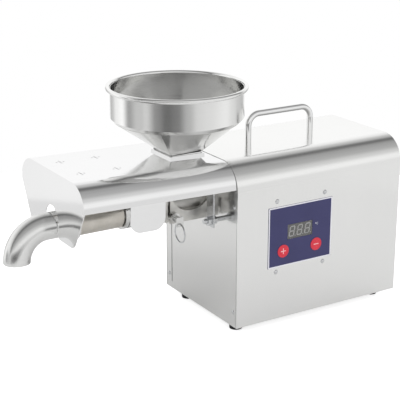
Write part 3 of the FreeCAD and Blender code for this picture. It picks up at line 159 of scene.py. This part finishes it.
def makeWorld():
    world = bpy.data.worlds.new("whiteTent")
    bpy.context.scene.world = world
    world.use_nodes = True
    tree = world.node_tree
    tree.nodes.clear()
    line = addNode(tree, "ShaderNodeTexCoord").outputs["Generated"]
    parts = addNode(tree, "ShaderNodeSeparateXYZ", {0: line}).outputs
    around = mathNode(tree, "ARCTAN2", parts["Y"], parts["X"])
    toFront = mathNode(tree, "MULTIPLY", parts["Y"], -1.0)
    over = mathNode(tree, "ARCTAN2", parts["Z"], toFront)
    wall = greyRamp(tree, spread(tree, around, -math.pi, math.pi, 0, 1), studioLook["tentRound"])
    roof = greyRamp(tree, spread(tree, over, -math.pi, math.pi, 0, 1), studioLook["tentOver"])
    low, high = studioLook["seam"]
    tent = blendColour(tree, spread(tree, parts["Z"], low, high, 0, 1), wall, roof)
    path = addNode(tree, "ShaderNodeLightPath").outputs
    mirrored = mathNode(tree, "MAXIMUM", path["Is Glossy Ray"], path["Is Transmission Ray"])
    plain = (studioLook["plainLevel"],) * 3
    light = blendColour(tree, mirrored, plain, tent)
    shown = blendColour(tree, path["Is Camera Ray"], light, (1, 1, 1))
    back = addNode(tree, "ShaderNodeBackground", {"Color": shown, "Strength": 1.0})
    addNode(tree, "ShaderNodeOutputWorld", {"Surface": back.outputs[0]})


def makeLamp():
    data = bpy.data.lights.new("softLamp", "AREA")
    data.shape = "DISK"
    data.size = studioLook["lampSize"]
    data.energy = studioLook["lampPower"]
    lamp = bpy.data.objects.new("softLamp", data)
    lamp.location = studioLook["lampPlace"]
    lamp.rotation_euler = (-Vector(studioLook["lampPlace"])).to_track_quat("-Z", "Y").to_euler()
    lamp.visible_glossy = False
    bpy.context.scene.collection.objects.link(lamp)


def makeFloor():
    mesh = bpy.data.meshes.new("paleFloor")
    shape = bmesh.new()
    bmesh.ops.create_circle(shape, cap_ends=True, segments=studioLook["floorSides"],
                            radius=studioLook["floorRadius"])
    shape.to_mesh(mesh)
    shape.free()
    floor = bpy.data.objects.new("paleFloor", mesh)
    bpy.context.scene.collection.objects.link(floor)
    paint = bpy.data.materials.new("paleFloor")
    paint.use_nodes = True
    tree = paint.node_tree
    tree.nodes.clear()
    tone = studioLook["floorTone"]
    matt = addNode(tree, "ShaderNodeBsdfDiffuse", {"Color": (tone, tone, tone, 1)})
    path = addNode(tree, "ShaderNodeLightPath").outputs
    lift = mathNode(tree, "MULTIPLY", path["Is Camera Ray"], studioLook["floorLift"])
    glow = addNode(tree, "ShaderNodeEmission", {"Strength": lift})
    both = addNode(tree, "ShaderNodeAddShader", {0: matt.outputs[0], 1: glow.outputs[0]})
    addNode(tree, "ShaderNodeOutputMaterial", {"Surface": both.outputs[0]})
    mesh.materials.append(paint)


makeWorld()
makeLamp()
makeFloor()
bpy.context.scene.view_settings.view_transform = "Standard"
print("studio ready")


# finishes

noiseBand = (0.3, 0.7)          # most of a noise lies between these
narrowBand = (0.35, 0.65)       # the same, for patches with firmer edges
streakShade = 0.8               # tone of a streak as a share of the metal's
cellStrength = 0.6
coatRoughness = 0.08
plasticIor = 1.5


def startFinish(name):
    paint = bpy.data.materials.new(name)
    paint.use_nodes = True
    tree = paint.node_tree
    shader = tree.nodes["Principled BSDF"]
    coords = addNode(tree, "ShaderNodeTexCoord").outputs["Object"]
    return paint, tree, shader, coords


def noise(tree, coords, scale, detail=4.0, rough=0.55, stretch=None):
    if stretch:
        stretched = addNode(tree, "ShaderNodeMapping", {"Vector": coords, "Scale": stretch})
        coords = stretched.outputs[0]
    node = addNode(tree, "ShaderNodeTexNoise", {"Vector": coords, "Scale": scale,
                                                "Detail": detail, "Roughness": rough})
    return node.outputs["Fac"]


def bump(tree, height, depth, strength=1.0, onto=None):
    node = addNode(tree, "ShaderNodeBump", {"Height": height, "Distance": depth,
                                            "Strength": strength})
    if onto is not None:
        tree.links.new(onto, node.inputs["Normal"])
    return node.outputs["Normal"]


def metalFinish(name, look):
    paint, tree, shader, coords = startFinish(name)
    if look.get("spunAbout"):       # streaks that run round an upright axis through this point
        moved = addNode(tree, "ShaderNodeVectorMath", {0: coords, 1: look["spunAbout"]},
                        operation="SUBTRACT").outputs[0]
        parts = addNode(tree, "ShaderNodeSeparateXYZ", {0: moved}).outputs
        first = mathNode(tree, "MULTIPLY", parts["X"], parts["X"])
        second = mathNode(tree, "MULTIPLY", parts["Y"], parts["Y"])
        reach = mathNode(tree, "SQRT", mathNode(tree, "ADD", first, second))
        streakCoords = addNode(tree, "ShaderNodeCombineXYZ", {0: reach, 1: parts["Z"]}).outputs[0]
    else:
        streakCoords = coords
    streaks = noise(tree, streakCoords, look["streakScale"], 5, 0.6, look.get("streakStretch"))
    clouds = noise(tree, coords, look["cloudScale"], 3, 0.5)
    tone, dull = look["tone"], [c * look["dull"] for c in look["tone"]]
    mixed = blendColour(tree, spread(tree, clouds, *noiseBand, 0, 1), dull, tone)
    worn = blendColour(tree, spread(tree, streaks, *narrowBand, 0, look["streakMark"]),
                       mixed, [c * streakShade for c in tone])
    tree.links.new(worn, shader.inputs["Base Color"])
    shader.inputs["Metallic"].default_value = 1.0
    low, high = look["rough"]
    tree.links.new(spread(tree, streaks, *noiseBand, low, high), shader.inputs["Roughness"])
    normal = bump(tree, streaks, look["streakDepth"])
    if look.get("waveDepth"):
        normal = bump(tree, noise(tree, coords, look["waveScale"], 1, 0.4), look["waveDepth"],
                      onto=normal)
    tree.links.new(normal, shader.inputs["Normal"])
    return paint


def castFinish(name, look):
    paint, tree, shader, coords = startFinish(name)
    grit = noise(tree, coords, look["gritScale"], 6, 0.7)
    clouds = noise(tree, coords, look["cloudScale"], 3, 0.5)
    tone, dull = look["tone"], [c * look["dull"] for c in look["tone"]]
    tree.links.new(blendColour(tree, spread(tree, clouds, *narrowBand, 0, 1), dull, tone),
                   shader.inputs["Base Color"])
    shader.inputs["Metallic"].default_value = look.get("metal", 1.0)
    low, high = look["rough"]
    tree.links.new(spread(tree, grit, *noiseBand, low, high), shader.inputs["Roughness"])
    cells = addNode(tree, "ShaderNodeTexVoronoi", {"Vector": coords, "Scale": look["cellScale"]})
    normal = bump(tree, cells.outputs["Distance"], look["cellDepth"], cellStrength)
    tree.links.new(bump(tree, grit, look["gritDepth"], onto=normal), shader.inputs["Normal"])
    return paint


def plasticFinish(name, look):
    paint, tree, shader, coords = startFinish(name)
    grain = noise(tree, coords, look["grainScale"], 4, 0.6)
    clouds = noise(tree, coords, look["cloudScale"], 3, 0.5)
    tone, other = look["tone"], look["other"]
    tree.links.new(blendColour(tree, spread(tree, clouds, *noiseBand, 0, 1), tone, other),
                   shader.inputs["Base Color"])
    low, high = look["rough"]
    tree.links.new(spread(tree, grain, *noiseBand, low, high), shader.inputs["Roughness"])
    tree.links.new(bump(tree, grain, look["grainDepth"]), shader.inputs["Normal"])
    shader.inputs["Coat Weight"].default_value = look.get("coat", 0.0)
    shader.inputs["Coat Roughness"].default_value = coatRoughness
    shader.inputs["IOR"].default_value = plasticIor
    return paint


def glassFinish(name, look):
    paint, tree, shader, coords = startFinish(name)
    smear = noise(tree, coords, look["smearScale"], 3, 0.5)
    tree.links.new(blendColour(tree, smear, look["tone"], look["other"]),
                   shader.inputs["Base Color"])
    shader.inputs["Transmission Weight"].default_value = 1.0
    shader.inputs["IOR"].default_value = look["ior"]
    tree.links.new(spread(tree, smear, *noiseBand, *look["rough"]), shader.inputs["Roughness"])
    return paint


def ringedFinish(name, look):
    paint, tree, shader, coords = startFinish(name)
    rings = addNode(tree, "ShaderNodeTexWave",
                    {"Vector": coords, "Scale": look["ringScale"], "Distortion": look["ringDrift"],
                     "Detail": 2.0, "Detail Scale": 2.0}, wave_type="BANDS",
                    bands_direction=look["ringAxis"], wave_profile="SIN").outputs["Fac"]
    clouds = noise(tree, coords, look["cloudScale"], 4, 0.6)
    tree.links.new(blendColour(tree, spread(tree, clouds, *noiseBand, 0, 1), look["tone"],
                               look["other"]), shader.inputs["Base Color"])
    shader.inputs["Metallic"].default_value = look.get("metal", 1.0)
    tree.links.new(spread(tree, clouds, *noiseBand, *look["rough"]), shader.inputs["Roughness"])
    tree.links.new(bump(tree, rings, look["ringDepth"]), shader.inputs["Normal"])
    return paint


feedLow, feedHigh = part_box("hopper")
feedCentre = (feedLow + feedHigh) / 2

metals = {
    "housingSteel": {"tone": (0.86, 0.86, 0.85), "dull": 0.97, "rough": (0.10, 0.20),
                     "streakScale": 1.0, "streakStretch": (900, 900, 6), "streakMark": 0.05,
                     "streakDepth": 0.000002, "cloudScale": 5, "waveScale": 5,
                     "waveDepth": 0.0002},
    "plateSteel": {"tone": (0.84, 0.84, 0.83), "dull": 0.95, "rough": (0.14, 0.26),
                   "streakScale": 1.0, "streakStretch": (900, 900, 6), "streakMark": 0.08,
                   "streakDepth": 0.000002, "cloudScale": 6, "waveScale": 5,
                   "waveDepth": 0.0002},
    "guardSteel": {"tone": (0.86, 0.86, 0.86), "dull": 0.97, "rough": (0.05, 0.13),
                   "streakScale": 1.0, "streakStretch": (6, 900, 900), "streakMark": 0.04,
                   "streakDepth": 0.000001, "cloudScale": 6, "waveScale": 6,
                   "waveDepth": 0.0002},
    "spunSteel": {"tone": (0.86, 0.86, 0.85), "dull": 0.96, "rough": (0.08, 0.2),
                  "spunAbout": tuple(feedCentre), "streakScale": 700,
                  "streakMark": 0.08, "streakDepth": 0.000004, "cloudScale": 8},
    "barSteel": {"tone": (0.88, 0.88, 0.88), "dull": 0.97, "rough": (0.04, 0.1),
                 "streakScale": 400, "streakMark": 0.03, "streakDepth": 0.000001,
                 "cloudScale": 20},
    "outletSteel": {"tone": (0.80, 0.80, 0.79), "dull": 0.93, "rough": (0.12, 0.24),
                    "streakScale": 1.0, "streakStretch": (60, 700, 700), "streakMark": 0.1,
                    "streakDepth": 0.000002, "cloudScale": 25},
    "zincSteel": {"tone": (0.66, 0.67, 0.68), "dull": 0.85, "rough": (0.16, 0.32),
                  "streakScale": 600, "streakMark": 0.15, "streakDepth": 0.000004,
                  "cloudScale": 120},
    "gearSteel": {"tone": (0.52, 0.52, 0.53), "dull": 0.8, "rough": (0.22, 0.4),
                  "streakScale": 500, "streakMark": 0.2, "streakDepth": 0.000004,
                  "cloudScale": 90},
    "bearingSteel": {"tone": (0.75, 0.76, 0.78), "dull": 0.92, "rough": (0.08, 0.16),
                     "streakScale": 400, "streakMark": 0.05, "streakDepth": 0.000001,
                     "cloudScale": 60},
    "sinkAluminium": {"tone": (0.56, 0.57, 0.6), "dull": 0.9, "rough": (0.3, 0.45),
                      "streakScale": 1.0, "streakStretch": (30, 30, 800), "streakMark": 0.1,
                      "streakDepth": 0.000003, "cloudScale": 50},
}
castings = {
    "holderCasting": {"tone": (0.70, 0.69, 0.66), "dull": 0.8, "rough": (0.3, 0.5),
                      "gritScale": 900, "gritDepth": 0.00005, "cellScale": 700,
                      "cellDepth": 0.00006, "cloudScale": 60},
    "gearboxCasting": {"tone": (0.60, 0.61, 0.62), "dull": 0.85, "rough": (0.35, 0.55),
                       "gritScale": 900, "gritDepth": 0.00006, "cellScale": 600,
                       "cellDepth": 0.00005, "cloudScale": 40},
    "bellCasting": {"tone": (0.63, 0.63, 0.64), "dull": 0.86, "rough": (0.35, 0.5),
                    "gritScale": 1000, "gritDepth": 0.00004, "cellScale": 700,
                    "cellDepth": 0.00004, "cloudScale": 50},
    "magnetFerrite": {"tone": (0.09, 0.09, 0.10), "dull": 0.7, "rough": (0.5, 0.7),
                      "gritScale": 1400, "gritDepth": 0.00003, "cellScale": 1200,
                      "cellDepth": 0.00003, "cloudScale": 80, "metal": 0.3},
}
plastics = {
    "footRubber": {"tone": (0.022, 0.022, 0.024), "other": (0.04, 0.04, 0.042),
                   "rough": (0.55, 0.75), "grainScale": 2200, "grainDepth": 0.00003,
                   "cloudScale": 60},
    "panelFilm": {"tone": (0.030, 0.030, 0.115), "other": (0.036, 0.036, 0.132),
                  "rough": (0.32, 0.42), "grainScale": 3000, "grainDepth": 0.000006,
                  "cloudScale": 25},
    "borderInk": {"tone": (0.76, 0.76, 0.83), "other": (0.84, 0.84, 0.88),
                  "rough": (0.3, 0.42), "grainScale": 3000, "grainDepth": 0.000004,
                  "cloudScale": 60},
    "buttonRed": {"tone": (0.66, 0.020, 0.045), "other": (0.74, 0.035, 0.062),
                  "rough": (0.22, 0.34), "grainScale": 2400, "grainDepth": 0.000008,
                  "cloudScale": 140},
    "buttonMark": {"tone": (0.86, 0.42, 0.45), "other": (0.92, 0.62, 0.62),
                   "rough": (0.3, 0.4), "grainScale": 2400, "grainDepth": 0.000004,
                   "cloudScale": 300},
    "displayGrey": {"tone": (0.17, 0.17, 0.165), "other": (0.21, 0.21, 0.20),
                    "rough": (0.3, 0.4), "grainScale": 1500, "grainDepth": 0.000005,
                    "cloudScale": 120},
    "segmentWhite": {"tone": (0.62, 0.62, 0.63), "other": (0.74, 0.74, 0.75),
                     "rough": (0.35, 0.5), "grainScale": 1800, "grainDepth": 0.000005,
                     "cloudScale": 500},
    "boardGreen": {"tone": (0.02, 0.16, 0.07), "other": (0.03, 0.22, 0.10),
                   "rough": (0.25, 0.4), "grainScale": 1200, "grainDepth": 0.00001,
                   "cloudScale": 200},
    "motorPaint": {"tone": (0.02, 0.02, 0.022), "other": (0.032, 0.032, 0.034),
                   "rough": (0.28, 0.42), "grainScale": 900, "grainDepth": 0.00003,
                   "cloudScale": 40},
    "fanPlastic": {"tone": (0.03, 0.03, 0.032), "other": (0.05, 0.05, 0.052),
                   "rough": (0.4, 0.55), "grainScale": 1600, "grainDepth": 0.00002,
                   "cloudScale": 80},
    "blackPlastic": {"tone": (0.018, 0.018, 0.019), "other": (0.03, 0.03, 0.031),
                     "rough": (0.35, 0.5), "grainScale": 1800, "grainDepth": 0.00002,
                     "cloudScale": 90},
    "rockerPlastic": {"tone": (0.012, 0.012, 0.013), "other": (0.022, 0.022, 0.023),
                      "rough": (0.18, 0.28), "grainScale": 1500, "grainDepth": 0.000006,
                      "cloudScale": 120, "coat": 0.2},
}
glasses = {
    "lensClear": {"tone": (0.90, 0.90, 0.89), "other": (0.95, 0.95, 0.94), "ior": 1.45,
                  "rough": (0.02, 0.08), "smearScale": 80},
}
ringed = {
    "turnedSteel": {"tone": (0.62, 0.62, 0.61), "other": (0.74, 0.74, 0.73),
                    "rough": (0.18, 0.3), "ringScale": 600, "ringDrift": 0.4, "ringAxis": "X",
                    "ringDepth": 0.00001, "cloudScale": 60},
    "heaterSheath": {"tone": (0.50, 0.47, 0.42), "other": (0.66, 0.63, 0.58),
                     "rough": (0.22, 0.38), "ringScale": 120, "ringDrift": 0.2,
                     "ringAxis": "X", "ringDepth": 0.00003, "cloudScale": 45},
    "coreLaminations": {"tone": (0.34, 0.29, 0.25), "other": (0.46, 0.40, 0.35),
                        "rough": (0.35, 0.55), "ringScale": 450, "ringDrift": 0.05,
                        "ringAxis": "X", "ringDepth": 0.00012, "cloudScale": 90},
}

finishes = {}
for maker, table in ((metalFinish, metals), (castFinish, castings), (plasticFinish, plastics),
                     (glassFinish, glasses), (ringedFinish, ringed)):
    for finishName, settings in table.items():
        finishes[finishName] = maker(finishName, settings)
print("finishes made:", len(finishes))


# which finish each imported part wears

wears = {
    "housingSteel": ["housing_cover"],
    "plateSteel": ["front_plate", "rear_panel", "base_tray"],
    "guardSteel": ["guard_hood", "guard_end_plate", "guard_side_flaps"],
    "spunSteel": ["hopper"],
    "barSteel": ["carry_handle"],
    "outletSteel": ["cake_elbow", "outlet_nut"],
    "turnedSteel": ["press_barrel", "press_screw", "output_shaft", "layshaft", "motor_shaft",
                    "lock_pin", "pin_sleeve"],
    "heaterSheath": ["heater_band", "temperature_probe"],
    "holderCasting": ["barrel_holder", "feed_bowl"],
    "zincSteel": ["front_plate_screws", "rear_panel_screws", "foot_screws", "handle_screws",
                  "panel_screws", "holder_bolts", "gearbox_screws", "guard_studs", "guard_stays",
                  "stay_nuts", "pin_ring", "board_standoffs", "motor_bolts"],
    "footRubber": ["rubber_feet"],
    "panelFilm": ["panel_overlay"],
    "buttonRed": ["plus_button", "minus_button"],
    "lensClear": ["display_window"],
    "displayGrey": ["display_module"],
    "boardGreen": ["control_board"],
    "sinkAluminium": ["driver_heatsink"],
    "gearboxCasting": ["gearbox_case", "gearbox_cover"],
    "gearSteel": ["output_gear", "layshaft_gear", "layshaft_pinion", "motor_pinion"],
    "bearingSteel": ["output_bearings", "layshaft_bearings"],
    "motorPaint": ["motor_can"],
    "bellCasting": ["motor_end_bell"],
    "magnetFerrite": ["motor_magnets"],
    "coreLaminations": ["motor_armature"],
    "fanPlastic": ["motor_fan"],
    "blackPlastic": ["power_inlet", "rocker_frame"],
    "rockerPlastic": ["power_rocker"],
}
for finishName, parts in wears.items():
    for part in parts:
        for place in nodes[part].material_slots:
            place.material = finishes[finishName]
print("parts dressed:", sum(len(parts) for parts in wears.values()))


# pieces modelled here

bevelSteps = 2
bevelProfile = 0.6


def addPiece(name, shape, finishName, body):
    mesh = bpy.data.meshes.new(name)
    bmesh.ops.recalc_face_normals(shape, faces=shape.faces)
    for face in shape.faces:
        face.smooth = False
    shape.to_mesh(mesh)
    shape.free()
    piece = bpy.data.objects.new(name, mesh)
    bpy.context.scene.collection.objects.link(piece)
    mesh.materials.append(finishes[finishName])
    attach(piece, body)
    return piece


def addPrism(shape, outline, back, front, edge=0.0):
    rear = [shape.verts.new((x, back, z)) for x, z in outline]
    fore = [shape.verts.new((x, front, z)) for x, z in outline]
    shape.faces.new(rear)
    cap = shape.faces.new(fore)
    for i in range(len(outline)):
        shape.faces.new((rear[i], rear[i - 1], fore[i - 1], fore[i]))
    if edge:
        bmesh.ops.bevel(shape, geom=list(cap.edges), offset=edge, segments=bevelSteps,
                        profile=bevelProfile, affect="EDGES")


def roundedOutline(left, right, low, high, radius, steps=8):
    points = []
    for x, z, start in ((right - radius, high - radius, 0), (left + radius, high - radius, 90),
                        (left + radius, low + radius, 180), (right - radius, low + radius, 270)):
        for step in range(steps + 1):
            angle = math.radians(start + 90 * step / steps)
            points.append((x + radius * math.cos(angle), z + radius * math.sin(angle)))
    return points


def addFrame(shape, outer, inner, back, front):
    rows = [[shape.verts.new((x, y, z)) for x, z in line]
            for line, y in ((outer, back), (outer, front), (inner, front), (inner, back))]
    count = len(outer)
    for i in range(4):
        one, two = rows[i], rows[(i + 1) % 4]
        for j in range(count):
            shape.faces.new((one[j], one[j - 1], two[j - 1], two[j]))


def ringOutline(x, z, radius, start=0, stop=360, steps=40):
    angles = [math.radians(start + (stop - start) * i / steps)
              for i in range(steps + (stop - start < 360))]
    return [(x + radius * math.cos(a), z + radius * math.sin(a)) for a in angles]


panelLook = {
    "borderWidth": 0.0016, "borderProud": 0.0001, "borderSunk": 0.00002,
    "corner": 0.0015, "innerCorner": 0.4,
    "degreeOut": (0.0052, 0.0052), "degreeRadius": 0.0007, "degreeWall": 0.00035,
    "unitStep": 0.0026, "unitRadius": 0.0014, "printProud": 0.00005,
    "unitOpening": (50, 310),       # degrees where the open arc starts and stops
}


def makePanelPrint():
    low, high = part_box("panel_overlay")
    face = low.y
    wide, corner = panelLook["borderWidth"], panelLook["corner"]
    border = bmesh.new()
    outer = roundedOutline(low.x, high.x, low.z, high.z, corner)
    inner = roundedOutline(low.x + wide, high.x - wide, low.z + wide, high.z - wide,
                           corner * panelLook["innerCorner"])
    addFrame(border, outer, inner, face + panelLook["borderSunk"],
             face - panelLook["borderProud"])
    addPiece("panelBorder", border, "borderInk", "base")
    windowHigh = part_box("display_window")[1]
    x, z = (windowHigh.x + panelLook["degreeOut"][0], windowHigh.z - panelLook["degreeOut"][1])
    unit = bmesh.new()
    front = face - panelLook["printProud"]
    radius, wall = panelLook["degreeRadius"], panelLook["degreeWall"]
    addFrame(unit, ringOutline(x, z, radius), ringOutline(x, z, radius - wall), face, front)
    x, z, radius = x + panelLook["unitStep"], z - radius, panelLook["unitRadius"]
    start, stop = panelLook["unitOpening"]
    arc = ringOutline(x, z, radius, start, stop)
    arc += ringOutline(x, z, radius - wall, stop, start)
    addPrism(unit, arc, face, front)
    addPiece("degreeMark", unit, "borderInk", "base")


digitLook = {
    "count": 3, "height": 0.0122, "width": 0.0066, "pitch": 0.0117, "lean": 0.17,
    "bar": 0.0015, "gap": 0.0002, "proud": 0.0002, "edge": 0.00005, "dot": 0.0007,
    "dotAcross": 0.72, "dotSteps": 20, "lensWall": 0.0006, "lensCorner": 0.0006,
    "lensInset": 0.00005, "lensEdge": 0.0001,
}


def barOutline(centre, length, width, upright):
    tip = width / 2
    half = length / 2
    points = [(-half, 0), (-half + tip, tip), (half - tip, tip), (half, 0), (half - tip, -tip),
              (-half + tip, -tip)]
    if upright:
        points = [(-z, x) for x, z in points]
    return [(centre[0] + x, centre[1] + z) for x, z in points]


def makeDisplay():
    low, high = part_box("display_window")
    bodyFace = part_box("display_module")[0].y
    middle = (low + high) / 2
    bars = bmesh.new()
    tall, wide = digitLook["height"], digitLook["width"]
    length = tall / 2 - digitLook["gap"]
    for i in range(digitLook["count"]):
        across = middle.x + (i - (digitLook["count"] - 1) / 2) * digitLook["pitch"]
        places = [((0, z * tall / 2), wide - digitLook["gap"], False) for z in (-1, 0, 1)]
        places += [((x * wide / 2, z * tall / 4), length, True) for x in (-1, 1) for z in (-1, 1)]
        for centre, reach, upright in places:
            outline = [(across + x + digitLook["lean"] * z, middle.z + z)
                       for x, z in barOutline(centre, reach, digitLook["bar"], upright)]
            addPrism(bars, outline, bodyFace, bodyFace - digitLook["proud"], digitLook["edge"])
        dot = ringOutline(across + wide * digitLook["dotAcross"], middle.z - tall / 2,
                          digitLook["dot"], steps=digitLook["dotSteps"])
        addPrism(bars, dot, bodyFace, bodyFace - digitLook["proud"])
    addPiece("digitBars", bars, "segmentWhite", "base")
    lens = bmesh.new()
    inset = digitLook["lensInset"]
    outline = roundedOutline(low.x + inset, high.x - inset, low.z + inset, high.z - inset,
                             digitLook["lensCorner"])
    addPrism(lens, outline, low.y + digitLook["lensWall"], low.y, digitLook["lensEdge"])
    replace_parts(addPiece("displayLens", lens, "lensClear", "base"),
                "display_window")


markLook = {"reach": 0.0037, "width": 0.0011, "proud": 0.0001, "sunk": 0.0001, "edge": 0.00004}


def makeButtonMarks():
    for label, arms in (("plus_button", 2), ("minus_button", 1)):
        low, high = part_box(label)
        middle = (low + high) / 2
        far, wide = markLook["reach"], markLook["width"] / 2
        if arms == 2:
            outline = [(-far, -wide), (-wide, -wide), (-wide, -far), (wide, -far), (wide, -wide),
                       (far, -wide), (far, wide), (wide, wide), (wide, far), (-wide, far),
                       (-wide, wide), (-far, wide)]
        else:
            outline = [(-far, -wide), (far, -wide), (far, wide), (-far, wide)]
        mark = bmesh.new()
        addPrism(mark, [(middle.x + x, middle.z + z) for x, z in outline],
                 low.y + markLook["sunk"], low.y - markLook["proud"], markLook["edge"])
        addPiece(label.split("_")[0] + "Mark", mark, "buttonMark", label)


makePanelPrint()
makeDisplay()
makeButtonMarks()
print("panel printed and display fitted")
